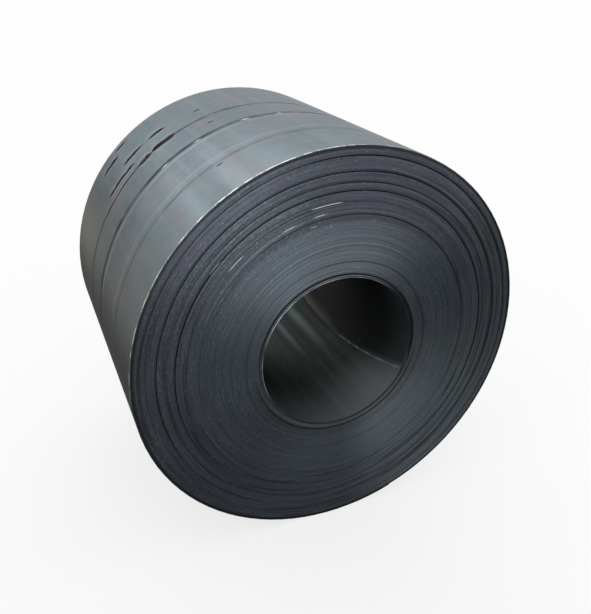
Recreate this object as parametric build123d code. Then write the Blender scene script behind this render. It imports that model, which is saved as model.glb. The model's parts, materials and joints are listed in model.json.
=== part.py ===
# Hot-rolled steel strip wound into a coil, lying on its side with its bore level.
# Lengths are millimetres. The coil's axis is Y, its front end faces -Y, and Z = 0 is the floor.
# Angles run round the axis from +X at the right, through +Z at the top, as seen from the front.
import math
import os

from build123d import *

# Driving dimensions. The outside diameter follows from the bore, the strip and its turns.
BORE_DIAMETER = 508.0
STRIP_WIDTH = 1000.0
STRIP_THICKNESS = 3.0

# Wound ends. The turns lie in bands from the bore outwards, and the turns of a band sit in line.
# A band is shifted along the axis by a share of the end stagger, minus being towards the front,
# so what stands proud at one end is sunk at the other.
BAND_TURNS = (4, 13, 16, 16, 17, 12, 11, 8, 10, 15, 7, 3)
BAND_SHIFT_SHARES = (-0.3, 0.5, 0.1, 0.45, -0.15, -0.7, 0.2, -0.55, 1.0, -0.4, -1.0, -0.5)
END_STAGGER = 3.0

# A slack band ends in an open gap beside the next band.
SLACK_BANDS = (0, 1, 4, 6, 8, 9)
GAP_WIDTH = 2.5
GAP_DEPTH = 9.0

# Head of the strip, a rounded tongue inside the bore, with its tip at mid width
HEAD_TIP_ANGLE = -43.5
HEAD_CORNER_SETBACK = 75.0
HEAD_FADE_ANGLE = 64.0

# Tail of the strip, a straight edge low on the outside
TAIL_ANGLE = -70.0
TAIL_FADE_ANGLE = 50.0

# Past its end, the strip leaves the turn beside it one thickness low, and that turn fades back to
# the round. A cut runs on past the point where they meet by this share of the fade.
FADE_RUN_ON_SHARE = 0.25
CUT_OVERRUN = 20.0

bore_radius = BORE_DIAMETER / 2
outside_radius = bore_radius + sum(BAND_TURNS) * STRIP_THICKNESS
half_width = STRIP_WIDTH / 2
cut_half_width = half_width + END_STAGGER + CUT_OVERRUN


def polar(radius, angle):
    """A point of the coil's cross-section, seen from the front."""
    turn = math.radians(angle)
    return (radius * math.cos(turn), radius * math.sin(turn))


def end_outline(side):
    """Points of one wound end, from the bore outwards. Side is -1 for the front and 1 for the back."""
    points = []
    inner = bore_radius
    for band, (turns, shift_share) in enumerate(zip(BAND_TURNS, BAND_SHIFT_SHARES)):
        outer = inner + turns * STRIP_THICKNESS
        end = side * half_width + shift_share * END_STAGGER
        points.append((inner, end))
        if band in SLACK_BANDS:
            gap_floor = end - side * GAP_DEPTH
            points.append((outer - GAP_WIDTH, end))
            points.append((outer - GAP_WIDTH, gap_floor))
            points.append((outer, gap_floor))
        else:
            points.append((outer, end))
        inner = outer
    return points


def wound_ring():
    """The wound turns as one turned ring with its bore."""
    section = end_outline(-1) + end_outline(1)[::-1]
    return revolve(make_face(Polyline(*section, close=True)), axis=Axis.Y)


def bared_turn(radius, edge_angle, fade_angle, depth, spare):
    """What a strip's end leaves open: from depth off the round at its edge to nil after the fade.

    Depth and spare are signed outwards. Spare is how far the cut reaches on the open side.
    """
    end_angle = edge_angle + fade_angle * (1 + FADE_RUN_ON_SHARE)
    edge_foot = polar(radius + depth, edge_angle)
    meeting = polar(radius, edge_angle + fade_angle)
    end_foot = polar(radius - depth * FADE_RUN_ON_SHARE, end_angle)
    end_top = polar(radius + spare, end_angle)
    middle_top = polar(radius + spare, (edge_angle + end_angle) / 2)
    edge_top = polar(radius + spare, edge_angle)
    outline = [
        ThreePointArc(edge_foot, meeting, end_foot),
        Line(end_foot, end_top),
        ThreePointArc(end_top, middle_top, edge_top),
        Line(edge_top, edge_foot),
    ]
    return extrude(Plane.XZ * make_face(outline), amount=cut_half_width, both=True)


def head_tongue():
    """The head of the strip as a block through the bore's wall, with its rounded end drawn flat."""
    tongue_radius = (half_width**2 + HEAD_CORNER_SETBACK**2) / (2 * HEAD_CORNER_SETBACK)
    setback = tongue_radius - math.sqrt(tongue_radius**2 - cut_half_width**2)
    left, right = (-cut_half_width, setback), (cut_half_width, setback)
    root_left, root_right = (-cut_half_width, bore_radius), (cut_half_width, bore_radius)
    outline = [
        ThreePointArc(left, (0, 0), right),
        Line(right, root_right),
        Line(root_right, root_left),
        Line(root_left, left),
    ]
    across, up = polar(1, HEAD_TIP_ANGLE)
    tip_plane = Plane(
        origin=(across * bore_radius, 0, up * bore_radius),
        x_dir=(0, 1, 0),
        z_dir=(across, 0, up),
    )
    return extrude(tip_plane * make_face(outline), amount=bore_radius / 2, both=True)


def bared_bore():
    """The second turn where it shows in the bore, past the tongue."""
    corner_angle = math.degrees(HEAD_CORNER_SETBACK / bore_radius)
    spare_angle = math.degrees(CUT_OVERRUN / bore_radius)
    start_angle = corner_angle + spare_angle
    fade_angle = start_angle + HEAD_FADE_ANGLE
    depth = STRIP_THICKNESS * fade_angle / HEAD_FADE_ANGLE
    opened = bared_turn(bore_radius, HEAD_TIP_ANGLE + start_angle, -fade_angle, depth, -CUT_OVERRUN)
    return opened - head_tongue()


def bared_outside():
    """The last turn but one where it shows on the outside, past the tail."""
    return bared_turn(outside_radius, TAIL_ANGLE, TAIL_FADE_ANGLE, -STRIP_THICKNESS, CUT_OVERRUN)


def steel_coil():
    """The coil lying on the floor."""
    coil = wound_ring() - bared_bore() - bared_outside()
    return Pos(0, 0, outside_radius) * coil


os.makedirs("parts", exist_ok=True)
export_step(steel_coil(), "parts/steel_coil.step")
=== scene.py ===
# Looks of the steel coil: one closed mesh of the wound strip, its steel, and a plain studio.
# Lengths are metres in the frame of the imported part. The coil's axis is Y, its front end faces -Y.
# Angles are degrees round the axis from +X at the right, through +Z at the top, seen from the front.
# A turn number counts turns along the strip from its head, and a side is -1 for the front, 1 for the back.
import json
import math

import bmesh
import bpy
import numpy as np
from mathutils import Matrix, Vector


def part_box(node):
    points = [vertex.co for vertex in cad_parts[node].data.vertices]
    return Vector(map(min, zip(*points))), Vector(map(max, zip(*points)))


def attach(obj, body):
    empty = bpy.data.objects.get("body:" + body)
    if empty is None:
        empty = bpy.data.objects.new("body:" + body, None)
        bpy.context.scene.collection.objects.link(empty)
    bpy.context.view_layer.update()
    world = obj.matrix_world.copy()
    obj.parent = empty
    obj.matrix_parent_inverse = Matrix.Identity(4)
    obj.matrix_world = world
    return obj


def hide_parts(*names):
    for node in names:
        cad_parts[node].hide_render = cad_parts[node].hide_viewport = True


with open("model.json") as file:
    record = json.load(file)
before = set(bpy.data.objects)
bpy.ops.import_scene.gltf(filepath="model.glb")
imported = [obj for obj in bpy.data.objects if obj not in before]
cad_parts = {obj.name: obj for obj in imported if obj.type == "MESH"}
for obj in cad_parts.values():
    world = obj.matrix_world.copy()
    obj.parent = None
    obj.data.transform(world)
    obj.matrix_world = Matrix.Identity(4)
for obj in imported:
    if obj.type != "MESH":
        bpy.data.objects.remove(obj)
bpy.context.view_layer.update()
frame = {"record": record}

# Sizes from the frame
NODE = "steel_coil"
MM = 0.001
node_low, node_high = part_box(NODE)
bore_sizes = next(mount["dims"] for mount in frame["record"]["mounts"] if mount["name"] == "bore")
BORE_RADIUS = bore_sizes["r_mm"] * MM
WIDTH = bore_sizes["length_mm"] * MM
HALF_WIDTH = WIDTH / 2
OUTSIDE_RADIUS = (node_high.x - node_low.x) / 2
END_STAGGER = (node_high.y - node_low.y) / 2 - HALF_WIDTH
AXIS_HEIGHT = OUTSIDE_RADIUS
FRONT, BACK = -1, 1

# Winding, counter-clockwise as it grows, from the strip's head in the bore to its tail outside.
# The head is a rounded tongue, with one angle for its corners and one for its tip.
FULL_TURN = 360.0
QUARTER_TURN = 90.0
HEAD_ANGLE = -26.6
HEAD_TIP_ANGLE = -43.5
TAIL_ANGLE = 290.0
WHOLE_TURNS = 130
LAST_SHARE = (TAIL_ANGLE - HEAD_ANGLE) / FULL_TURN
STRIP_THICKNESS = (OUTSIDE_RADIUS - BORE_RADIUS) / (WHOLE_TURNS + LAST_SHARE + 1)

# Bands of turns from the bore outwards. Each sits shifted along the axis by a share of the stagger,
# and the strip crosses from one band to the next over part of a turn.
BAND_TURNS = (4, 13, 16, 16, 17, 12, 11, 8, 10, 15, 7, 3)
BAND_SHIFT_SHARES = (-0.3, 0.5, 0.1, 0.45, -0.15, -0.7, 0.2, -0.55, 1.0, -0.4, -1.0, -0.5)
BAND_CHANGE_TURNS = 0.2
VISIBLE_STAGGER_SHARE = 0.42

# Turns by which the crossings lie past whole turns. The golden share spreads them, so that no two line up.
BAND_EDGE_START = -0.32
BAND_EDGE_SPREAD = 0.15
GOLDEN_SHARE = 0.618

# Low on the coil its weight presses the turns together. Gaps and band shifts drop to one share there, and
# the dirt and painted shade along the bands to another. Round an angle at the lower left, the turns lie
# tighter still.
LOW_GAP_SHARE = 0.25
LOW_DARK_SHARE = 0.6
TIGHT_ANGLE = 235.0
TIGHT_SHARE = 0.7
TIGHT_POWER = 4

# A slack band ends in an open gap beside the next band, one turn long. Each band number has how open its
# gap is at the top of the coil, as a share of the widest. A gap closes over part of a turn at its two ends,
# and it changes along the strip by a share either way, with bends this many turns apart.
SLACK_BANDS = {0: 0.75, 1: 0.12, 4: 0.13, 6: 0.6, 8: 0.6, 9: 0.24}
GAP_DEPTH = 9 * MM
GAP_CLOSING_TURNS = 0.12
GAP_LOOSENESS_POWER = 2
GAP_CHANGE_SHARE = 0.33
GAP_CHANGE_TURNS = 0.09
GAP_SEED = 41

# The turn outside a gap is sunk and painted dark as shade. The painted shade of the gap's floor carries the
# dark up its walls, and a gap that is open by a share or more is painted dark up to the edge of the turn
# inside it.
SUNK_DEPTH = 4.5 * MM
SUNK_DARKNESS = 0.95
GAP_FLOOR_SHADE = 5.0
DARK_WALL_GAP_SHARE = 0.2

# Past the strip's head, the first turn springs off the second. That gap opens and narrows again over
# these degrees past the head, down to a share. The next turns outwards are sunk and painted dark with dirt
# and shade over the same stretch, fading out between two turn numbers, and the second turn is painted dark
# with dirt and shade all the way round.
HEAD_GAP = 0.2
HEAD_GAP_OPENING = (0.0, 16.0)
HEAD_GAP_NARROWING = (62.0, 108.0)
HEAD_GAP_LATER_SHARE = 0.35
HEAD_DARK = 0.97
HEAD_SUNK_SHARE = 0.5
HEAD_DARK_TURNS = (4.6, 3.4)
SECOND_TURN_DARK = 0.7
SECOND_TURN_END = (2.3, 1.7)

# Dirt and painted shade along the ends of the bands. Each band number has how dark it is. It is darkest a
# little past the band's end, and fades over these turns.
BAND_DARKNESS = {0: 0.15, 1: 0.3, 2: 0.12, 4: 0.1, 5: 0.25, 6: 0.42, 7: 0.3, 8: 0.42, 9: 0.3, 10: 0.2}
BAND_DARK_MIDDLE = 0.5
BAND_DARK_TURNS = 1.6

# Edge of one turn, as shares of the strip's thickness, and the groove beside it
CROWN_INNER_SHARE = 0.08
CROWN_OUTER_SHARE = 0.35
GAP_WALL_SHARE = 0.2
GROOVE_DEPTH = 0.75 * MM
RIM_ROUNDING = 0.5 * MM

# Dirt and painted shade in the corner where a turn stands proud of the one inside it by the step's height
STEP_HEIGHT = 0.6 * MM
STEP_DARKNESS = 0.85

# The steel takes this power of the mesh's dirt and painted shade, so that they stay near the grooves.
GROOVE_POWER = 3.0

# Small wander of the turn edges along the strip, with the spacing of its bends in turns. A wander runs
# over turn numbers that reach past both ends of the strip.
EDGE_LIFT = 0.16 * MM
EDGE_LIFT_TURNS = 0.37
EDGE_LIFT_SEED = 11
EDGE_TILT = 0.12 * MM
EDGE_TILT_TURNS = 0.61
EDGE_TILT_SEED = 21
WANDER_START = -2
WANDER_END = WHOLE_TURNS + 4

# Columns of the mesh round the axis, closer where the outside is marked, and rings along it
COLUMN_STEP = 3.8
FINE_COLUMN_STEP = 2.0
FINE_ANGLES = (90.0, 150.0)
OUTSIDE_RINGS = 30
BORE_RINGS = 20
SHARP_ANGLE = 60.0

# Share of a turn over which the columns of the bore are pulled to the head's rounded edge, and share over
# which the second turn lies bare in the bore, past the head
TONGUE_PULL_SHARE = 0.15
BARED_SHARE = 0.2

# Lines round the outside: shallow creases, with painted shade in the dark ones and a painted highlight on the
# light ones. Each is given as distance from the front end, half width and strength
DARK_LINES = ((226 * MM, 15 * MM, 0.34), (481 * MM, 20 * MM, 0.8), (658 * MM, 14 * MM, 0.78))
LIGHT_LINES = ((269 * MM, 12 * MM, 0.38), (449 * MM, 15 * MM, 0.5))
LINE_DEPTH = 1.2 * MM

# Gashes in the outside, each as distance from the front end, first angle, last angle and half width
GASHES = (
    (658 * MM, 118.5, 127, 26 * MM),
    (656 * MM, 127.5, 133, 25 * MM),
    (652 * MM, 134.5, 152, 11 * MM),
    (716 * MM, 133.5, 146.5, 16 * MM),
    (786 * MM, 119.3, 125.3, 18 * MM),
    (786 * MM, 128, 136.3, 17 * MM),
    (910 * MM, 136.5, 144.5, 18 * MM),
    (966 * MM, 131, 136, 14 * MM),
    (204 * MM, 116.5, 117.5, 7 * MM),
    (770 * MM, 107, 108.5, 10 * MM),
    (580 * MM, 108, 109, 9 * MM),
)
GASH_DEPTH = 1.5 * MM
GASH_SLOPE_ANGLE = 2.0

# Bright spots on the outside, in the form of the gashes
BRIGHT_SPOTS = (
    (478 * MM, 89.5, 91, 7 * MM),
    (478 * MM, 99.5, 101.5, 9 * MM),
    (475 * MM, 115, 116.5, 6 * MM),
    (472 * MM, 126.5, 128, 6 * MM),
)

# A mark, which is a gash or a spot, strays along the axis by a share of its half width. It narrows over its
# last degrees, to a tip with a share of its width, and is gone past the overrun. Its core and the lip round
# it rise between two shares of its half width.
MARK_STRAY_SHARE = 1.5
MARK_TAPER_ANGLE = 1.6
MARK_TIP_SHARE = 0.2
MARK_OVERRUN_ANGLE = 1.0
MARK_CORE_SHARES = (1.15, 0.25)
MARK_LIP_SHARES = (2.0, 1.0)

# Waves round the outside, each as number round, phase and share of the height, fading at the rims
OUTSIDE_WAVES = ((7, 0.6, 1.0), (17, 2.1, 0.8), (29, 0.0, 0.5))
WAVE_HEIGHT = 0.5 * MM
RIM_FADE = 40 * MM

# Bright streaks along the outside, as angle, half width in degrees and strength. They fade out over their
# length from the front end, and at a share of their half width.
STREAKS = ((107.0, 5.0, 0.26), (117.0, 2.4, 0.29), (129.0, 2.2, 0.29))
STREAK_LENGTH = 0.65
STREAK_FADE_SHARE = 2.0

# Bright nicks on the front end, as radius, first angle, last angle and strength, and their spare degrees
NICKS = (
    (491 * MM, 91, 101, 0.75),
    (486.5 * MM, 129, 135, 0.62),
    (467 * MM, 98, 100, 0.58),
    (467 * MM, 110, 112, 0.48),
    (441 * MM, 101, 103, 0.48),
    (525 * MM, 136, 138, 0.48),
)
NICK_SPARE_ANGLE = 0.6

# Wear along the edges of the first and the last turn. It swings about a middle by as much as the middle,
# with bends this many turns apart. The widths are those of the worn rims, outside and in the bore.
FIRST_TURN_WEAR = 0.62
LAST_TURN_WEAR = 0.15
RIM_WEAR_TURNS = 0.011
RIM_WEAR_SWING = 0.5
RIM_WEAR_SEED = 31
RIM_WORN_WIDTH = 9 * MM
BORE_WORN_WIDTH = 4 * MM

# Painted streaks of light deep in the bore, as angle, half width in degrees, and first and last distance from
# the front
BORE_STREAKS = (
    (-40.0, 5.0, 360 * MM, 1000 * MM),
    (-58.0, 6.0, 320 * MM, 1000 * MM),
    (-76.0, 4.0, 330 * MM, 920 * MM),
)

# Numbers of the three steels in the mesh
OUTSIDE, ENDS, BORE = range(3)


def ramp_between(value, start, end):
    """Smooth rise from 0 at start to 1 at end."""
    share = np.clip((value - start) / (end - start), 0, 1)
    return share * share * (3 - 2 * share)


def wander(turn, seed, spacing, size):
    """A random line along the strip, bent at even spacing."""
    knots = np.arange(WANDER_START, WANDER_END, spacing)
    heights = np.random.default_rng(seed).uniform(-size, size, len(knots))
    return np.interp(turn, knots, heights)


def spiral_radius(turn):
    """Radius of the strip's inner face at a turn number."""
    return BORE_RADIUS + STRIP_THICKNESS * turn


def past_head(turn):
    """Degrees past the angle of the strip's head, on any turn."""
    return FULL_TURN * (turn % 1)


def looseness(turn, low_share=LOW_GAP_SHARE):
    """How loose the turns lie, from 1 at the top of the coil to a share at the bottom."""
    angle = np.radians(HEAD_ANGLE + FULL_TURN * turn)
    height_share = (1 + np.sin(angle)) / 2
    tightness = np.maximum(0, np.cos(angle - math.radians(TIGHT_ANGLE))) ** TIGHT_POWER
    return (low_share + (1 - low_share) * height_share) * (1 - TIGHT_SHARE * tightness)


def band_edges():
    """Turn number where each band ends, low on the coil."""
    edges = []
    for band, turns in enumerate(np.cumsum(BAND_TURNS)):
        edges.append(turns + BAND_EDGE_START + BAND_EDGE_SPREAD * ((band * GOLDEN_SHARE) % 1))
    return edges


def band_shift(turn):
    """How far the strip is shifted along the axis at a turn number."""
    knots, shifts = [], []
    for band, edge in enumerate(band_edges()[:-1]):
        knots += [edge - BAND_CHANGE_TURNS / 2, edge + BAND_CHANGE_TURNS / 2]
        shifts += [BAND_SHIFT_SHARES[band], BAND_SHIFT_SHARES[band + 1]]
    return VISIBLE_STAGGER_SHARE * END_STAGGER * looseness(turn) * np.interp(turn, knots, shifts)


def head_gap(turn):
    """How open the gap is between the first turn and the second, from 0 to 1."""
    opening = ramp_between(past_head(turn), *HEAD_GAP_OPENING)
    narrowing = ramp_between(past_head(turn), *HEAD_GAP_NARROWING)
    second_turn = (turn >= 1) & (turn < 2)
    return HEAD_GAP * second_turn * opening * (1 - (1 - HEAD_GAP_LATER_SHARE) * narrowing)


def gap_share(turn):
    """How open the gap is inside a turn, from 0 to 1."""
    opened = np.zeros_like(turn)
    edges = band_edges()
    for band, openness in SLACK_BANDS.items():
        start, end = edges[band], edges[band] + 1
        rise = ramp_between(turn, start, start + GAP_CLOSING_TURNS)
        opened += openness * rise * ramp_between(turn, end, end - GAP_CLOSING_TURNS)
    opened = opened * looseness(turn) ** GAP_LOOSENESS_POWER + head_gap(turn)
    return opened * (1 - GAP_CHANGE_SHARE + wander(turn, GAP_SEED, GAP_CHANGE_TURNS, GAP_CHANGE_SHARE))


def head_dirt_and_shade(turn):
    """How dark the dirt and painted shade are on the turns that lie over the strip's head, from 0 to 1."""
    opening = ramp_between(past_head(turn), *HEAD_GAP_OPENING)
    narrowing = ramp_between(past_head(turn), *HEAD_GAP_NARROWING)
    wide = HEAD_DARK * ramp_between(turn, *HEAD_DARK_TURNS) * opening * (1 - narrowing)
    return (turn >= 1) * np.maximum(wide, SECOND_TURN_DARK * ramp_between(turn, *SECOND_TURN_END))


def band_dirt_and_shade(turn):
    """How dark the dirt and painted shade along the ends of the bands are, from 0 to 1."""
    darkness = np.zeros_like(turn)
    edges = band_edges()
    for band, most in BAND_DARKNESS.items():
        distance = np.abs(turn - edges[band] - BAND_DARK_MIDDLE) / BAND_DARK_TURNS
        darkness = np.maximum(darkness, most * np.clip(1 - distance**2, 0, 1))
    return darkness * looseness(turn, LOW_DARK_SHARE)


def column_angles():
    """Angles of the mesh's columns over one turn from the head, and the tail's column."""
    stops = (HEAD_ANGLE, *FINE_ANGLES, TAIL_ANGLE, HEAD_ANGLE + FULL_TURN)
    steps = (COLUMN_STEP, FINE_COLUMN_STEP, COLUMN_STEP, COLUMN_STEP)
    stretches = []
    for start, end, step in zip(stops, stops[1:], steps):
        stretches.append(np.linspace(start, end, round((end - start) / step), endpoint=False))
    tail_column = sum(len(stretch) for stretch in stretches[:-1])
    return np.concatenate(stretches), tail_column


class Winding:
    """Vertices and faces of the coil's mesh, column by column along the strip.

    Each vertex has its dirt and painted shade and how bare its steel is, and each face the number of its
    steel.
    """

    def __init__(self):
        self.angles, tail_column = column_angles()
        self.columns = len(self.angles)
        self.last = WHOLE_TURNS * self.columns + tail_column
        self.points = []
        self.groove = []
        self.bare = []
        self.faces = []
        self.steels = []

    def angle(self, index):
        return self.angles[index % self.columns]

    def turn(self, index):
        return index // self.columns + (self.angle(index) - HEAD_ANGLE) / FULL_TURN

    def add_points(self, radius, angle, along, groove=0.0, bare=0.0):
        """Adds points and returns their vertex numbers. Along is measured from mid width."""
        first = sum(len(points) for points in self.points)
        turned = np.radians(angle)
        across, up = radius * np.cos(turned), AXIS_HEIGHT + radius * np.sin(turned)
        along = np.broadcast_to(along, across.shape)
        self.points.append(np.stack([across, along, up], axis=1))
        self.groove.append(np.broadcast_to(groove, across.shape))
        self.bare.append(np.broadcast_to(bare, across.shape))
        return np.arange(first, first + len(across))

    def add_strip(self, one, two, steel):
        """Quads between two lines of vertices of the same length."""
        quads = np.stack([one[:-1], one[1:], two[1:], two[:-1]], axis=1)
        self.faces += quads.tolist()
        self.steels += [steel] * len(quads)

    def add_wall(self, rings, steel):
        """Quads between each ring of vertices and the next."""
        for one, two in zip(rings, rings[1:]):
            self.add_strip(one, two, steel)

    def add_face(self, corners, steel):
        self.faces.append([int(corner) for corner in corners])
        self.steels.append(steel)


def nick_share(radius, angle):
    """Where a turn's edge is struck bright, from 0 to 1."""
    share = np.zeros_like(radius)
    for nick_radius, first, last, strength in NICKS:
        near = np.abs(radius - nick_radius) < STRIP_THICKNESS / 2
        struck = near * (angle > first - NICK_SPARE_ANGLE) * (angle < last + NICK_SPARE_ANGLE)
        share = np.maximum(share, strength * struck)
    return share


def rim_wear(turn):
    """Bright wear along the edges of the first and the last turn, from 0 to 1."""
    ragged = RIM_WEAR_SWING + wander(turn, RIM_WEAR_SEED, RIM_WEAR_TURNS, RIM_WEAR_SWING)
    last_turn = turn > WHOLE_TURNS + LAST_SHARE - 1
    return ragged * (FIRST_TURN_WEAR * (turn < 1) + LAST_TURN_WEAR * last_turn)


def edge_reach(turn, side):
    """How far the strip's edge reaches from mid width, on one side."""
    lift = wander(turn, EDGE_LIFT_SEED + side, EDGE_LIFT_TURNS, EDGE_LIFT)
    sunk_share = np.maximum(gap_share(turn), HEAD_SUNK_SHARE * head_dirt_and_shade(turn))
    return HALF_WIDTH + side * band_shift(turn) + lift - SUNK_DEPTH * sunk_share


def groove_reach(reach, line_turn, columns):
    """How far the grooves beside the edges reach, with a small rounding at the first and the last one."""
    inner = np.concatenate([reach[:columns] + GROOVE_DEPTH, reach])
    outer = np.concatenate([reach, reach[-columns:] + GROOVE_DEPTH])
    grooves = np.minimum(inner, outer) - GROOVE_DEPTH - GAP_DEPTH * gap_share(line_turn)
    grooves[:columns] = reach[:columns] - RIM_ROUNDING
    grooves[-columns:] = reach[-columns:] - RIM_ROUNDING
    return grooves


def edge_dirt_and_shade(turn):
    """How dark the dirt and painted shade on the strip's edge are, from 0 to 1."""
    gap_dark = SUNK_DARKNESS * gap_share(turn)
    band_dark = band_dirt_and_shade(turn) ** (1 / GROOVE_POWER)
    return np.maximum(np.maximum(gap_dark, band_dark), head_dirt_and_shade(turn))


def step_dirt_and_shade(reach, columns):
    """How dark the dirt and painted shade are in the corner where an edge stands proud of the one inside it,
    from 0 to 1.
    """
    step_up = reach - np.concatenate([reach[:columns], reach[:-columns]])
    return STEP_DARKNESS * np.clip(step_up / STEP_HEIGHT, 0, 1)


def wound_end(winding, side):
    """One end of the coil. Returns its grooves, and the inner and outer corners of its turn edges."""
    strip = np.arange(winding.last + 1)
    turn, angle = winding.turn(strip), winding.angle(strip)
    radius = spiral_radius(turn)
    reach = edge_reach(turn, side)
    tilt = wander(turn, EDGE_TILT_SEED + side, EDGE_TILT_TURNS, EDGE_TILT) * looseness(turn)
    edge_dark = edge_dirt_and_shade(turn)
    nicks = nick_share(radius + STRIP_THICKNESS / 2, angle) * (side == FRONT)
    bare = np.maximum(nicks, rim_wear(turn))

    lines = np.arange(winding.last + winding.columns + 1)
    line_turn, line_angle = winding.turn(lines), winding.angle(lines)
    line_along = side * groove_reach(reach, line_turn, winding.columns)
    line_dark = 1 + GAP_FLOOR_SHADE * gap_share(line_turn)
    line_bare = rim_wear(line_turn) * (line_turn < 1)
    grooves = winding.add_points(spiral_radius(line_turn), line_angle, line_along, line_dark, line_bare)

    inner_radius = radius + STRIP_THICKNESS * CROWN_INNER_SHARE
    inner_dark = np.maximum(edge_dark, step_dirt_and_shade(reach, winding.columns))
    inner = winding.add_points(inner_radius, angle, side * (reach + tilt), inner_dark, bare)

    outer_gap = gap_share(turn + 1)
    outer_share = CROWN_OUTER_SHARE + (GAP_WALL_SHARE - CROWN_OUTER_SHARE) * outer_gap
    outer_radius = radius + STRIP_THICKNESS * outer_share
    outer_along = side * (reach - tilt - GAP_DEPTH * outer_gap)
    outer_dark = np.maximum(edge_dark, np.minimum(outer_gap / DARK_WALL_GAP_SHARE, 1))
    outer = winding.add_points(outer_radius, angle, outer_along, outer_dark, bare)

    winding.add_strip(grooves[: winding.last + 1], inner, ENDS)
    winding.add_strip(inner, outer, ENDS)
    winding.add_strip(outer, grooves[winding.columns :], ENDS)
    return grooves, inner, outer


def outside_relief(angle, along):
    """Height of the outside over the plain round, at a distance from the front end."""
    turned = np.radians(angle)
    height = np.zeros_like(turned)
    for number, phase, share in OUTSIDE_WAVES:
        height += WAVE_HEIGHT * share * np.sin(number * turned + phase)
    for line, half_width, strength in DARK_LINES:
        height -= LINE_DEPTH * strength * np.maximum(0, 1 - abs(along - line) / half_width)
    for gash_along, first, last, half_width in GASHES:
        start = ramp_between(angle, first - GASH_SLOPE_ANGLE, first + GASH_SLOPE_ANGLE)
        end = ramp_between(angle, last + GASH_SLOPE_ANGLE, last - GASH_SLOPE_ANGLE)
        height -= GASH_DEPTH * start * end * np.maximum(0, 1 - abs(along - gash_along) / half_width)
    return height * ramp_between(along, 0, RIM_FADE) * ramp_between(along, WIDTH, WIDTH - RIM_FADE)


def outside_places():
    """Distances from the front end of the rings on the outside, with more at the marks."""
    places = set(np.linspace(0, WIDTH, OUTSIDE_RINGS)[1:-1])
    marks = [(line, half_width) for line, half_width, strength in DARK_LINES]
    marks += [(gash, half_width) for gash, first, last, half_width in GASHES]
    for place, half_width in marks:
        places |= {place - half_width, place, place + half_width}
    return sorted(place for place in places if 0 < place < WIDTH)


def outside_wall(winding, front, back):
    """The outside between the rims of the two ends. Returns its rings."""
    rim = np.arange(winding.last, winding.last + winding.columns + 1)
    angle = winding.angle(rim)
    radius = spiral_radius(winding.turn(rim))
    rings = [front[rim]]
    for place in outside_places():
        rings.append(winding.add_points(radius + outside_relief(angle, place), angle, place - HALF_WIDTH))
    rings.append(back[rim])
    winding.add_wall(rings, OUTSIDE)
    return rings


def tongue_angle(along):
    """How far the head's rounded edge lies ahead of its corners, at a place along from mid width."""
    reach = math.radians(HEAD_ANGLE - HEAD_TIP_ANGLE) * BORE_RADIUS
    round_radius = (HALF_WIDTH**2 + reach**2) / (2 * reach)
    setback = round_radius - math.sqrt(round_radius**2 - along**2)
    return math.degrees((reach - setback) / BORE_RADIUS)


def bore_wall(winding, front, back):
    """The bore between the rims of the two ends, with the strip's rounded head in it. Returns its rings."""
    rim = np.arange(winding.columns + 1)
    turn = winding.turn(rim)
    pull = 1 - ramp_between(np.minimum(turn, 1 - turn), 0, TONGUE_PULL_SHARE)
    angle = HEAD_ANGLE + FULL_TURN * turn
    bared = ramp_between(turn, 1 - BARED_SHARE, 1)
    rings = [front[rim]]
    worn_end = HALF_WIDTH - BORE_WORN_WIDTH
    for along in (-worn_end, *np.linspace(-HALF_WIDTH, HALF_WIDTH, BORE_RINGS)[1:-1], worn_end):
        pulled = angle - pull * tongue_angle(along)
        rings.append(winding.add_points(spiral_radius(turn), pulled, along, bare=bared))
    rings.append(back[rim])
    winding.add_wall(rings, BORE)
    return rings


def strip_end(winding, rings, front_edge, back_edge, steel):
    """The cut end of the strip, between the first and the last column of a wall's rings."""
    first = [ring[0] for ring in rings]
    last = [ring[-1] for ring in rings]
    winding.add_face([first[0], *front_edge, last[0], last[1], first[1]], steel)
    winding.add_strip(np.array(first[1:-1]), np.array(last[1:-1]), steel)
    winding.add_face([first[-1], *back_edge, last[-1], last[-2], first[-2]], steel)


def wound_strip():
    """The whole strip as one closed winding."""
    winding = Winding()
    ends = [wound_end(winding, side) for side in (FRONT, BACK)]
    front, back = (grooves for grooves, inner, outer in ends)
    outside = outside_wall(winding, front, back)
    bore = bore_wall(winding, front, back)
    head_edges = [(inner[0], outer[0]) for grooves, inner, outer in ends]
    tail_edges = [(inner[-1], outer[-1]) for grooves, inner, outer in ends]
    strip_end(winding, bore, *head_edges, ENDS)
    strip_end(winding, outside, *tail_edges, OUTSIDE)
    return winding


def coil_mesh():
    """The coil as one closed mesh, with its steels' numbers, its dirt and painted shade, and its bare steel.
    """
    winding = wound_strip()
    mesh = bpy.data.meshes.new("wound_strip")
    mesh.from_pydata(np.concatenate(winding.points), [], winding.faces)
    mesh.polygons.foreach_set("material_index", winding.steels)
    for name, values in (("groove", winding.groove), ("bare", winding.bare)):
        attribute = mesh.attributes.new(name, "FLOAT", "POINT")
        attribute.data.foreach_set("value", np.concatenate(values).astype(np.float32))
    work = bmesh.new()
    work.from_mesh(mesh)
    bmesh.ops.recalc_face_normals(work, faces=work.faces)
    work.to_mesh(mesh)
    work.free()
    mesh.shade_smooth()
    mesh.set_sharp_from_angle(angle=math.radians(SHARP_ANGLE))
    return mesh


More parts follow.
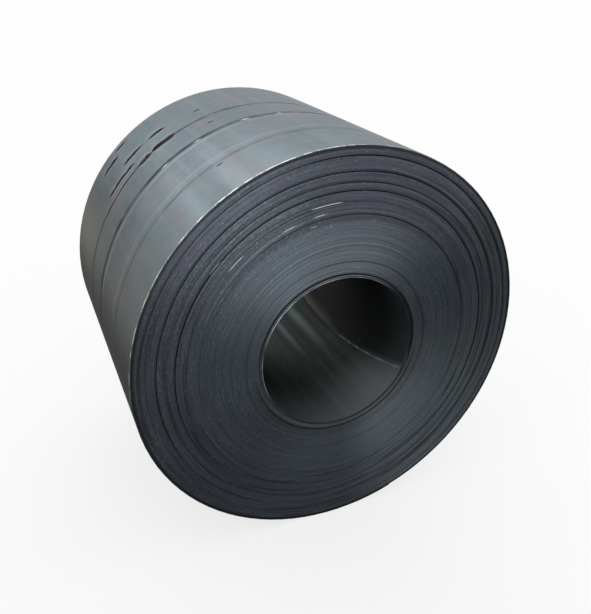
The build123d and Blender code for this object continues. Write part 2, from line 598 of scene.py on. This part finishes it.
class NodeCalls:
    """Short calls for the nodes of one tree. A value is a number, a colour as a tuple, or a socket."""

    def __init__(self, tree):
        self.tree = tree

    def feed(self, socket, value):
        """Links a socket to a socket, or sets its value."""
        if isinstance(value, bpy.types.NodeSocket):
            self.tree.links.new(value, socket)
        elif isinstance(value, tuple):
            socket.default_value = (*value, 1.0)
        else:
            socket.default_value = value

    def add(self, kind, *inputs, **settings):
        """Adds a node, with its first inputs set or linked in order."""
        node = self.tree.nodes.new(kind)
        for name, value in settings.items():
            setattr(node, name, value)
        for socket, value in zip(node.inputs, inputs):
            self.feed(socket, value)
        return node

    def add_named(self, kind, **inputs):
        """Adds a node, with inputs set or linked by name."""
        node = self.tree.nodes.new(kind)
        for name, value in inputs.items():
            self.feed(node.inputs[name], value)
        return node

    def math(self, operation, *inputs):
        return self.add("ShaderNodeMath", *inputs, operation=operation).outputs[0]

    def times(self, product, *factors):
        """All the values multiplied."""
        for factor in factors:
            product = self.math("MULTIPLY", product, factor)
        return product

    def distance(self, value, middle):
        """How far a value lies from the middle, on either side."""
        return self.math("ABSOLUTE", self.math("SUBTRACT", value, middle))

    def ramp(self, value, start, end, low=0.0, high=1.0):
        """Smooth change from low to high as the value goes from start to end."""
        settings = {"interpolation_type": "SMOOTHSTEP", "clamp": True}
        return self.add("ShaderNodeMapRange", value, start, end, low, high, **settings).outputs[0]

    def noise(self, place, scale, detail, roughness=0.55):
        inputs = {"Vector": place, "Scale": scale, "Detail": detail, "Roughness": roughness}
        return self.add_named("ShaderNodeTexNoise", **inputs).outputs["Fac"]

    def bump(self, height, distance, strength):
        inputs = {"Height": height, "Distance": distance, "Strength": strength}
        return self.add_named("ShaderNodeBump", **inputs).outputs[0]

    def mix(self, share, one, two):
        """Colour between one and two."""
        node = self.add("ShaderNodeMix", data_type="RGBA")
        colour_inputs = [socket for socket in node.inputs if socket.type == "RGBA"]
        for socket, value in zip((node.inputs[0], *colour_inputs), (share, one, two)):
            self.feed(socket, value)
        return next(socket for socket in node.outputs if socket.type == "RGBA")

    def attribute(self, name):
        return self.add("ShaderNodeAttribute", attribute_name=name).outputs["Fac"]


class Shading(NodeCalls):
    """The nodes of one material."""

    def __init__(self, name):
        self.material = bpy.data.materials.new(name)
        self.material.use_nodes = True
        super().__init__(self.material.node_tree)
        self.shader = self.tree.nodes["Principled BSDF"]

    def set(self, **values):
        """Sets or links the shader's sockets, by name with _ for a space."""
        for name, value in values.items():
            self.feed(self.shader.inputs[name.replace("_", " ")], value)


class Steel(Shading):
    """The nodes of one of the coil's steels, with measures of the place on the coil and noises.

    Along is the distance from the front end, and height is over the floor. The up share is 1 at the top of
    the coil and -1 at its bottom, and the across share is 1 at its right.
    """

    def __init__(self, name):
        super().__init__(name)
        self.place = self.add("ShaderNodeTexCoord").outputs["Object"]
        parts = self.add("ShaderNodeSeparateXYZ", self.place).outputs
        across, up = parts["X"], self.math("SUBTRACT", parts["Z"], AXIS_HEIGHT)
        radius = self.math("SQRT", self.math("ADD", self.times(across, across), self.times(up, up)))
        from_top = self.math("DEGREES", self.math("ARCTAN2", across, up))
        self.measures = {
            "radius": radius,
            "angle": self.math("SUBTRACT", QUARTER_TURN, from_top),
            "along": self.math("ADD", parts["Y"], HALF_WIDTH),
            "height": parts["Z"],
            "across_share": self.math("DIVIDE", across, radius),
            "up_share": self.math("DIVIDE", up, radius),
        }

    def add_even_noises(self, noises):
        for name, (scale, *fineness) in noises.items():
            self.measures[name] = self.noise(self.place, scale, *fineness)

    def add_drawn_noises(self, noises, over):
        """Adds noises that are drawn out, with one scale round the axis and one over a measure."""
        for name, (around, over_scale, *fineness) in noises.items():
            scales = {"across_share": around, "up_share": around, over: over_scale}
            parts = [self.times(self.measures[measure], scale) for measure, scale in scales.items()]
            place = self.add("ShaderNodeCombineXYZ", *parts).outputs[0]
            self.measures[name] = self.noise(place, 1.0, *fineness)

    def patch(self, strength, *limits):
        """How much shows of one patch: its strength times the rise of each limit."""
        share = strength
        for name, start, end, *share_before in limits:
            share = self.times(self.ramp(self.measures[name], start, end, *share_before), share)
        return share

    def patches(self, first, *others):
        """How much shows of several patches together."""
        share = self.patch(*first)
        for other in others:
            share = self.math("ADD", share, self.patch(*other))
        return share

    def coated(self, colour, coats):
        """The colour under more coats, each with its own colour and patches."""
        for coat_colour, *patches in coats:
            colour = self.mix(self.patches(*patches), colour, coat_colour)
        return colour


# Noises of the steels. Detail, and roughness where it isn't the usual one, come last. Before them an even
# noise has its scale, and a drawn one its scales round the axis and over the place along it or the radius.
OUTSIDE_EVEN_NOISES = {"cloud": (2.6, 4.0), "mottle": (38.0, 4.0, 0.65), "chips": (45.0, 3.0)}
OUTSIDE_DRAWN_NOISES = {
    "rolled": (2.0, 260.0, 4.0),
    "breaks": (16.0, 1.2, 3.0),
    "tint": (5.0, 2.0, 2.0),
    "blush": (4.03, 3.38, 3.0),
    "patchy": (9.0, 1.0, 3.0),
    "ragged": (14.0, 20.0, 5.0, 0.6),
    "scrapes": (6.0, 240.0, 3.0, 0.6),
}
END_DRAWN_NOISES = {
    "turns": (0.9, 0.6 / STRIP_THICKNESS, 3.0),
    "cloud": (3.0, 12.0, 3.0),
    "grain": (60.0, 0.5 / STRIP_THICKNESS, 2.0),
    "patchy": (2.2, 7.0, 3.0),
    "rings": (1.6, 0.42 / STRIP_THICKNESS, 2.0, 0.7),
    "flecks": (90.0, 0.35 / STRIP_THICKNESS, 2.0),
}
BORE_EVEN_NOISES = {"chips": (26.0, 6.0, 0.7)}
BORE_DRAWN_NOISES = {"rolled": (2.0, 200.0, 4.0), "breaks": (9.0, 1.6, 3.0)}
NOISE_MIDDLE = 0.5

# Coats lie over a steel from the lowest up. A coat has its colour and then its patches, which add up.
# A patch has its strength and then its limits, which multiply. A limit names a measure or a noise, gives
# its values where the patch starts and where it is full, and may end with the share that shows before.

# Outside: cloudy steel between two blues, then green tint, pale breaks, rolling lines, mottle and a red
# blush, then the warm lower half and a painted reflection at the far left
OUTSIDE_STEEL = ((0.166, 0.195, 0.214), (0.203, 0.239, 0.261))
OUTSIDE_STEEL_LEVELS = (0.3, 0.7)
OUTSIDE_COATS = (
    ((0.2, 0.24, 0.245), (0.5, ("tint", 0.45, 0.7))),
    ((0.29, 0.31, 0.325), (0.35, ("breaks", 0.45, 0.75))),
    ((0.12, 0.128, 0.133), (0.25, ("rolled", 0.5, 0.8))),
    ((0.165, 0.18, 0.188), (0.5, ("mottle", 0.4, 0.75))),
    ((0.25, 0.237, 0.248), (0.6, ("blush", 0.45, 0.7))),
    ((0.178, 0.177, 0.164), (0.6, ("height", 1.12, 0.86))),
    # Painted reflection: a pale warm patch at the far left edge
    ((0.3, 0.3, 0.262), (0.7, ("along", 0.4, 0.9), ("angle", 148.0, 166.0))),
)

# Outside: bright streaks along the axis, painted highlights and shade of creases in patches, painted shade
# low down, the worn rim, bright spots and scraped gashes
STREAK_COLOUR = (0.33, 0.41, 0.44)
CREASE_HIGHLIGHT_COLOUR = (0.34, 0.36, 0.37)
CREASE_SHADE_COLOUR = (0.03, 0.031, 0.032)
LINE_LIMIT = ("patchy", 0.3, 0.6, 0.4)
# Painted shade: the lower outside darker, and duller in its reflection
OUTSIDE_LOW_SHADE = (0.038, 0.036, 0.034)
OUTSIDE_LOW_SHADE_TINT = (0.04, 0.04, 0.04)
OUTSIDE_LOW_SHADE_PATCH = (0.96, ("height", 0.9, 0.56))
OUTSIDE_RIM_COATS = (
    ((0.85, 0.87, 0.87), (1.0, ("along", RIM_WORN_WIDTH, 0.0), ("chips", 0.42, 0.62, 0.15))),
)
SPOT_COLOUR = (0.48, 0.5, 0.51)
GASH_COLOUR = (0.018, 0.018, 0.019)
GASH_LIMIT = ("scrapes", 0.68, 0.48, 0.65)
GASH_LIP_COLOUR = (0.42, 0.43, 0.43)
GASH_LIP_STRENGTH = 0.3

# Ends: turn edges between two blue greys, then grain and cloud, a painted highlight on the upper turns by the
# bore, and violet patches further out and at the top
# Dark for real dirt, and for painted shade in the grooves, gaps and rings
DIRT_AND_SHADE = (0.012, 0.013, 0.015)
END_STEEL = ((0.0255, 0.0308, 0.0362), (0.0433, 0.0529, 0.0616))
END_STEEL_LEVELS = (0.3, 0.7)
END_COATS = (
    ((0.066, 0.079, 0.091), (0.6, ("grain", 0.42, 0.7))),
    ((0.0295, 0.036, 0.0426), (0.5, ("cloud", 0.4, 0.7))),
    # Painted highlight: paler turns by the bore at the top
    ((0.0551, 0.066, 0.0759), (0.8, ("radius", 0.46, 0.34), ("angle", 30.0, 80.0), ("angle", 180.0, 125.0))),
    ((0.037, 0.037, 0.050), (0.5, ("radius", 0.42, 0.5), ("patchy", 0.4, 0.62))),
    ((0.028, 0.0275, 0.038), (0.55, ("angle", 40.0, 62.0), ("angle", 118.0, 88.0), ("radius", 0.38, 0.46))),
)

# Ends: painted reflection, as paler steel at the lower right, at the lower left and over the outer turns at
# the right
REFLECTION_THINNING = ("radius", 0.5, 0.38, 0.86)
END_REFLECTION_COATS = (
    (
        (0.139, 0.16, 0.176),
        (0.95, ("angle", -90.0, -60.0, 0.347), ("angle", 22.0, -60.0), REFLECTION_THINNING),
        (0.33, ("angle", 215.0, 270.0), REFLECTION_THINNING),
        (0.13, ("angle", 75.0, 20.0), ("angle", -50.0, -15.0), ("radius", 0.46, 0.52)),
    ),
)

# Ends: a wide ring and a line of painted shade low round the first bands, a painted highlight low on the
# first band between them and the bore, dirty rings, bright flecks and painted shade on the outer rim
LOW_LIMIT = ("up_share", 0.1, -0.5)
OUTER_RIM_LIMIT = ("radius", OUTSIDE_RADIUS - 15 * MM, OUTSIDE_RADIUS - 7 * MM)
END_RING_COATS = (
    (DIRT_AND_SHADE, (0.15, ("radius", 0.266, 0.277), ("radius", 0.312, 0.288), LOW_LIMIT)),
    (DIRT_AND_SHADE, (0.72, ("radius", 0.2745, 0.2775), ("radius", 0.285, 0.282), LOW_LIMIT)),
    ((0.15, 0.154, 0.156), (0.32, ("radius", 0.2765, 0.2735), ("up_share", -0.3, -1.0))),
    (DIRT_AND_SHADE, (0.62, ("rings", 0.5, 0.66), ("radius", 0.42, 0.5, 0.25))),
    ((0.16, 0.17, 0.18), (0.5, ("flecks", 0.64, 0.76))),
    (DIRT_AND_SHADE, (0.95, OUTER_RIM_LIMIT)),
)

# Ends: more dirt and painted shade in the grooves beside the bore, struck and worn steel, and a dark line low
# on the bore's rim
BORE_GROOVE_PATCH = (
    0.6,
    ("radius", BORE_RADIUS + 16 * MM, BORE_RADIUS + 6 * MM),
    ("up_share", -0.7, -0.1, 0.2),
)
STRUCK_COLOUR = (0.32, 0.33, 0.335)
BORE_RIM_COATS = (
    (DIRT_AND_SHADE, (0.6, ("radius", BORE_RADIUS + 7 * MM, BORE_RADIUS + 4 * MM), ("up_share", -0.2, -0.6))),
)

# Bore: steel between two dark greens, then rolling lines and painted light at the front, painted light on the
# bared second turn, and painted streaks of light. Past edge is degrees past the head's rounded edge: above 0
# where the head lies, and below 0 on the bared turn.
BORE_STEEL = ((0.0095, 0.0125, 0.012), (0.023, 0.035, 0.032))
BORE_STEEL_LEVELS = (0.35, 0.75)
BORE_COATS = (
    ((0.012, 0.013, 0.013), (0.4, ("rolled", 0.45, 0.8))),
    # Painted light: paler steel near the front opening
    ((0.09, 0.106, 0.115), (0.7, ("along", 0.28, 0.0))),
)
# Painted light on the bared second turn, near the front
BARED_TURN_LIGHT = (0.115, 0.114, 0.121)
BARED_LIGHT_PATCH = (1.0, ("along", 0.3, 0.0, 0.06), ("past_edge", -1.0, -18.0, 0.4))
BORE_STREAK_LIGHT = (0.085, 0.125, 0.117)

# Bore: painted shade over the head, the top and the left, and a little at the bottom, with duller reflection
# there
BORE_SHADE = (0.003, 0.003, 0.003)
BORE_SHADE_TINT = (0.01, 0.01, 0.01)
BORE_SHADE_PATCHES = (
    (0.8, ("past_edge", 0.0, 6.0), ("angle", 270.0, 220.0, 0.1875), ("along", 0.02, 0.2, 0.75)),
    (0.15, ("angle", -78.0, -90.0)),
)
BORE_SHEEN = ((0.09, 0.09, 0.09), (0.27, 0.36, 0.34))
BORE_SHEEN_LEVELS = (0.38, 0.66)

# Bore: the head's painted shadow and its painted lit edge deep inside, and a painted glint along its edge
# towards the front
DEEP_LIMIT = ("along", 0.38, 0.52)
FRONT_LIMIT = ("along", 0.5, 0.22)
GLINT_LIMIT = ("chips", 0.42, 0.66, 0.2)
HEAD_COATS = (
    ((0.002, 0.002, 0.002), (0.97, ("past_edge", -4.0, -1.2), ("past_edge", 0.3, 0.0), DEEP_LIMIT)),
    ((0.062, 0.056, 0.044), (0.8, ("past_edge", 0.0, 1.0), ("past_edge", 11.0, 2.0), DEEP_LIMIT)),
    ((0.3, 0.29, 0.29), (1.0, ("past_edge", 1.9, 0.0), ("past_edge", -0.2, 0.0), GLINT_LIMIT, FRONT_LIMIT)),
)

# Gloss. Mill scale stays dull where it is seen at a slant. Roughness follows a noise between two levels,
# and a bump has its distance and strength.
EDGE_TINT = (0.25, 0.25, 0.25)
ROLLED_LEVELS = (0.2, 0.8)
OUTSIDE_ROUGHNESS = (0.36, 0.48)
OUTSIDE_BUMP = (0.6 * MM, 0.5)
OUTSIDE_ROLLED_BUMP_SHARE = 0.25
END_ROUGHNESS = (0.34, 0.26)
BORE_ROUGHNESS = (0.42, 0.55)
BORE_BUMP = (0.6 * MM, 0.4)


def outside_lines(steel, colour):
    """The colour with the bright streaks along the outside and the painted highlights and shade of the
    creases round it.
    """
    angle, along = steel.measures["angle"], steel.measures["along"]
    for streak, half_width, strength in STREAKS:
        across = steel.ramp(steel.distance(angle, streak), STREAK_FADE_SHARE * half_width, 0.0, 0.0, strength)
        polished = steel.times(across, steel.ramp(along, STREAK_LENGTH, 0.0))
        colour = steel.mix(polished, colour, STREAK_COLOUR)
    patchy = steel.patch(1.0, LINE_LIMIT)
    for lines, line_colour in ((LIGHT_LINES, CREASE_HIGHLIGHT_COLOUR), (DARK_LINES, CREASE_SHADE_COLOUR)):
        for line, half_width, strength in lines:
            across = steel.ramp(steel.distance(along, line), half_width, 0.0, 0.0, strength)
            colour = steel.mix(steel.times(across, patchy), colour, line_colour)
    return colour


def mark_shares(steel, along, first, last, half_width):
    """How much of a ragged mark's core shows on the outside, and of it with its lip, from 0 to 1."""
    unevenness = steel.math("SUBTRACT", steel.measures["ragged"], NOISE_MIDDLE)
    stray = steel.times(unevenness, MARK_STRAY_SHARE * half_width)
    distance = steel.distance(steel.math("ADD", steel.measures["along"], stray), along)
    angle = steel.measures["angle"]
    taper = min(MARK_TAPER_ANGLE, (last - first) / 2)
    start = steel.ramp(angle, first - MARK_OVERRUN_ANGLE, first + taper)
    length = steel.times(start, steel.ramp(angle, last + MARK_OVERRUN_ANGLE, last - taper))
    swollen = steel.math("DIVIDE", distance, steel.math("MAXIMUM", length, MARK_TIP_SHARE))
    drawn = steel.math("MINIMUM", steel.math("DIVIDE", length, MARK_TIP_SHARE), 1.0)
    shares = []
    for outer, inner in (MARK_CORE_SHARES, MARK_LIP_SHARES):
        shares.append(steel.times(steel.ramp(swollen, outer * half_width, inner * half_width), drawn))
    return shares


def outside_marks(steel, colour):
    """The colour with the bright spots and the gashes."""
    for spot in BRIGHT_SPOTS:
        colour = steel.mix(mark_shares(steel, *spot)[0], colour, SPOT_COLOUR)
    scraped = steel.patch(1.0, GASH_LIMIT)
    for gash in GASHES:
        core, lip = mark_shares(steel, *gash)
        colour = steel.mix(steel.times(lip, GASH_LIP_STRENGTH), colour, GASH_LIP_COLOUR)
        colour = steel.mix(steel.times(core, scraped), colour, GASH_COLOUR)
    return colour


def outside_steel():
    """Satin rolled steel with its creases and gashes."""
    steel = Steel("coil_outside")
    steel.add_even_noises(OUTSIDE_EVEN_NOISES)
    steel.add_drawn_noises(OUTSIDE_DRAWN_NOISES, "along")
    rolled, breaks = steel.measures["rolled"], steel.measures["breaks"]
    colour = steel.mix(steel.ramp(steel.measures["cloud"], *OUTSIDE_STEEL_LEVELS), *OUTSIDE_STEEL)
    colour = steel.coated(colour, OUTSIDE_COATS)
    colour = outside_lines(steel, colour)
    # Painted shade low on the outside, with duller reflection
    low_shade = steel.patch(*OUTSIDE_LOW_SHADE_PATCH)
    colour = steel.mix(low_shade, colour, OUTSIDE_LOW_SHADE)
    colour = steel.coated(colour, OUTSIDE_RIM_COATS)
    colour = outside_marks(steel, colour)
    height = steel.math("ADD", steel.times(rolled, OUTSIDE_ROLLED_BUMP_SHARE), breaks)
    steel.set(
        Base_Color=colour,
        Metallic=0.9,
        Specular_IOR_Level=0.2,
        Specular_Tint=steel.mix(low_shade, EDGE_TINT, OUTSIDE_LOW_SHADE_TINT),
        Roughness=steel.ramp(rolled, *ROLLED_LEVELS, *OUTSIDE_ROUGHNESS),
        Normal=steel.bump(height, *OUTSIDE_BUMP),
    )
    return steel.material


def end_steel():
    """Dull turn edges, dark in the grooves with dirt and painted shade, and bright where they are struck."""
    steel = Steel("coil_ends")
    steel.add_drawn_noises(END_DRAWN_NOISES, "radius")
    turns = steel.measures["turns"]
    colour = steel.mix(steel.ramp(turns, *END_STEEL_LEVELS), *END_STEEL)
    colour = steel.coated(colour, END_COATS + END_REFLECTION_COATS + END_RING_COATS)
    groove = steel.attribute("groove")
    beside_bore = steel.times(groove, steel.patch(*BORE_GROOVE_PATCH))
    groove_darkness = steel.math("MAXIMUM", steel.math("POWER", groove, GROOVE_POWER), beside_bore)
    colour = steel.mix(groove_darkness, colour, DIRT_AND_SHADE)
    colour = steel.mix(steel.attribute("bare"), colour, STRUCK_COLOUR)
    steel.set(
        Base_Color=steel.coated(colour, BORE_RIM_COATS),
        Metallic=0.85,
        Specular_IOR_Level=0.25,
        Specular_Tint=EDGE_TINT,
        Roughness=steel.ramp(turns, *END_STEEL_LEVELS, *END_ROUGHNESS),
    )
    return steel.material


def past_head_edge(steel):
    """Degrees past the head's rounded edge, above 0 where the head lies."""
    middle = steel.math("DIVIDE", steel.math("SUBTRACT", steel.measures["along"], HALF_WIDTH), HALF_WIDTH)
    setback = steel.times(middle, middle, HEAD_ANGLE - HEAD_TIP_ANGLE)
    return steel.math("SUBTRACT", steel.math("SUBTRACT", steel.measures["angle"], HEAD_TIP_ANGLE), setback)


def bore_streaks(steel, colour):
    """The colour with the painted streaks of light deep in the bore."""
    along = steel.measures["along"]
    for angle, half_width, first, last in BORE_STREAKS:
        across = steel.ramp(steel.distance(steel.measures["angle"], angle), half_width, 0.0)
        middle = (first + last) / 2
        share = steel.times(across, steel.ramp(along, first, middle), steel.ramp(along, last, middle))
        colour = steel.mix(share, colour, BORE_STREAK_LIGHT)
    return colour


def bore_steel():
    """Dark dull steel inside the bore, with the strip's head lying in it."""
    steel = Steel("coil_bore")
    steel.add_even_noises(BORE_EVEN_NOISES)
    steel.add_drawn_noises(BORE_DRAWN_NOISES, "along")
    steel.measures["past_edge"] = past_head_edge(steel)
    rolled, breaks = steel.measures["rolled"], steel.measures["breaks"]
    colour = steel.mix(steel.ramp(breaks, *BORE_STEEL_LEVELS), *BORE_STEEL)
    colour = steel.coated(colour, BORE_COATS)
    bared = steel.times(steel.attribute("bare"), steel.patch(*BARED_LIGHT_PATCH))
    colour = steel.mix(bared, colour, BARED_TURN_LIGHT)
    colour = bore_streaks(steel, colour)
    # Painted shade over the head, the top and the left, with duller reflection
    shaded = steel.patches(*BORE_SHADE_PATCHES)
    colour = steel.mix(shaded, colour, BORE_SHADE)
    sheen = steel.mix(steel.ramp(breaks, *BORE_SHEEN_LEVELS), *BORE_SHEEN)
    steel.set(
        Base_Color=steel.coated(colour, HEAD_COATS),
        Metallic=0.4,
        Specular_IOR_Level=0.25,
        Specular_Tint=steel.mix(shaded, sheen, BORE_SHADE_TINT),
        Roughness=steel.ramp(rolled, *ROLLED_LEVELS, *BORE_ROUGHNESS),
        Normal=steel.bump(breaks, *BORE_BUMP),
    )
    return steel.material


def build_coil():
    mesh = coil_mesh()
    for material in (outside_steel(), end_steel(), bore_steel()):
        mesh.materials.append(material)
    coil = bpy.data.objects.new("wound_coil", mesh)
    bpy.context.scene.collection.objects.link(coil)
    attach(coil, "root")
    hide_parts(NODE)
    return coil


# Studio floor, which glows a little to the eye and throws no light
WHITE = (1, 1, 1)
FLOOR_HALF_SIZE = 60.0
FLOOR_GLOW = 0.74
FLOOR_COLOUR = (0.22, 0.22, 0.22)

# Light of the whole sky, and the glow of a wide soft light in it behind the coil. Its middle and its
# bounds are degrees of bearing from +Y towards +X, and of elevation.
SKY_LIGHT = 1.0
SKY_GLOW = 1.9
GLOW_BEARING = 16.0
GLOW_SPREAD = (45.0, 34.0)
GLOW_LOW_ELEVATIONS = (2.0, 7.0)
GLOW_HIGH_ELEVATIONS = (40.0, 28.0)

# Soft boxes, each as name, place, point that it is aimed at, width and height, and radiance
SOFT_BOXES = (
    ("front_left_box", (-1.9, -4.6, 1.95), (-1.9, -0.5, 1.0), (5.0, 2.9), 3.7),
    ("front_right_box", (4.8, -4.6, 1.95), (4.8, -0.5, 1.0), (8.4, 2.9), 2.1),
    ("top_box", (-0.3, -0.6, 3.0), (0, -0.1, 0.8), (2.0, 1.6), 2.5),
)

# Camera at the photograph's place, with its focal length in pixels of the image's longer side
CAMERA_PLACE = (-0.846, -2.122, 1.748)
CAMERA_YAW = -23.25
CAMERA_PITCH = 27.18
FOCAL_PIXELS = 681.0
IMAGE_LONG_SIDE = 614
SENSOR_SIDE = 36.0


def white_to_eye(nodes):
    """1 for camera, glossy and transmission rays, otherwise 0."""
    rays = nodes.add("ShaderNodeLightPath").outputs
    seen = nodes.math("MAXIMUM", rays["Is Camera Ray"], rays["Is Glossy Ray"])
    return nodes.math("MAXIMUM", seen, rays["Is Transmission Ray"])


def build_floor():
    """A plain pale floor that keeps the coil's shadow."""
    shading = Shading("pale_floor")
    shading.set(
        Base_Color=FLOOR_COLOUR,
        Roughness=1.0,
        Specular_IOR_Level=0.0,
        Emission_Color=WHITE,
        Emission_Strength=shading.times(white_to_eye(shading), FLOOR_GLOW),
    )
    corners = [(x * FLOOR_HALF_SIZE, y * FLOOR_HALF_SIZE, 0) for x, y in ((-1, -1), (1, -1), (1, 1), (-1, 1))]
    mesh = bpy.data.meshes.new("floor")
    mesh.from_pydata(corners, [], [(0, 1, 2, 3)])
    mesh.materials.append(shading.material)
    floor = bpy.data.objects.new("floor", mesh)
    bpy.context.scene.collection.objects.link(floor)


def build_world():
    """Soft white light from all sides, with a glow low behind the coil."""
    world = bpy.data.worlds.new("studio")
    bpy.context.scene.world = world
    world.use_nodes = True
    nodes = NodeCalls(world.node_tree)
    direction = nodes.add("ShaderNodeTexCoord").outputs["Generated"]
    parts = nodes.add("ShaderNodeSeparateXYZ", direction).outputs
    elevation = nodes.math("DEGREES", nodes.math("ARCSINE", parts["Z"]))
    bearing = nodes.math("DEGREES", nodes.math("ARCTAN2", parts["X"], parts["Y"]))
    low = nodes.ramp(elevation, *GLOW_LOW_ELEVATIONS)
    high = nodes.ramp(elevation, *GLOW_HIGH_ELEVATIONS)
    aside = nodes.ramp(nodes.distance(bearing, GLOW_BEARING), *GLOW_SPREAD)
    glow = nodes.times(low, high, aside)
    background = world.node_tree.nodes["Background"]
    nodes.feed(background.inputs["Color"], WHITE)
    nodes.feed(background.inputs["Strength"], nodes.math("MULTIPLY_ADD", glow, SKY_GLOW, SKY_LIGHT))


def soft_box(lit, name, place, target, size, radiance):
    """A soft box aimed at a point, for the things in the lit collection alone."""
    lamp = bpy.data.lights.new(name, "AREA")
    lamp.shape = "RECTANGLE"
    lamp.size, lamp.size_y = size
    lamp.energy = radiance * math.pi * size[0] * size[1]
    holder = bpy.data.objects.new(name, lamp)
    holder.location = place
    holder.rotation_euler = (Vector(target) - Vector(place)).to_track_quat("-Z", "Y").to_euler()
    holder.visible_camera = False
    holder.light_linking.receiver_collection = lit
    bpy.context.scene.collection.objects.link(holder)


def build_lamps(coil):
    """Soft boxes that light the coil and leave the floor even."""
    lit = bpy.data.collections.new("lit")
    lit.objects.link(coil)
    for box in SOFT_BOXES:
        soft_box(lit, *box)


def build_camera():
    lens = bpy.data.cameras.new("camera")
    lens.sensor_width = SENSOR_SIDE
    lens.lens = FOCAL_PIXELS / IMAGE_LONG_SIDE * SENSOR_SIDE
    camera = bpy.data.objects.new("camera", lens)
    camera.location = CAMERA_PLACE
    camera.rotation_euler = (math.radians(QUARTER_TURN - CAMERA_PITCH), 0, math.radians(CAMERA_YAW))
    bpy.context.scene.collection.objects.link(camera)
    bpy.context.scene.camera = camera


bpy.context.scene.view_settings.view_transform = "Standard"
coil = build_coil()
build_floor()
build_world()
build_lamps(coil)
build_camera()
